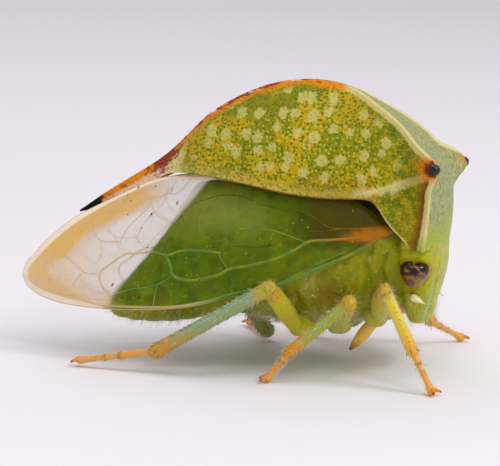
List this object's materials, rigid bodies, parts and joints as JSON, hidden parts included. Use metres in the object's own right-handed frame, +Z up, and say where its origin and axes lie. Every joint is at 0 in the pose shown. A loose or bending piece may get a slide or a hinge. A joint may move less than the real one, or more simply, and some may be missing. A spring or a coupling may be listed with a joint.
{
  "type": "buffalo treehopper",
  "caption": "Life-size still model of a buffalo treehopper: a humped, horned green shield with a rear spine over folded clear wings, standing on its legs.",
  "frame": {"origin": "on the floor under the middle of the insect's own box", "axes": "+X the way the insect faces, +Y its left side, +Z up; the feet's flats lie at z = 0"},
  "size_m": [0.01, 0.006, 0.0063],
  "materials": {
    "shield": "satin, finely pitted",
    "spine": "satin",
    "horn": "glossy",
    "head": "satin",
    "eye": "glossy",
    "feeler": "satin",
    "beak": "satin",
    "body": "satin, finely haired",
    "wing": "clear, veined",
    "leg": "satin, bristled"
  },
  "bodies": {
    "root": {"pronotum": "shield", "pronotum_spine": "spine", "horn_right": "horn", "horn_left": "horn", "head": "head", "eye_right": "eye", "eye_left": "eye", "antenna_right": "feeler", "antenna_left": "feeler", "beak": "beak", "thorax": "body", "abdomen": "body", "forewing_right": "wing", "forewing_left": "wing", "front_leg_right": "leg", "front_leg_left": "leg", "middle_leg_right": "leg", "middle_leg_left": "leg", "hind_leg_right": "leg", "hind_leg_left": "leg"}
  },
  "joints": []
}
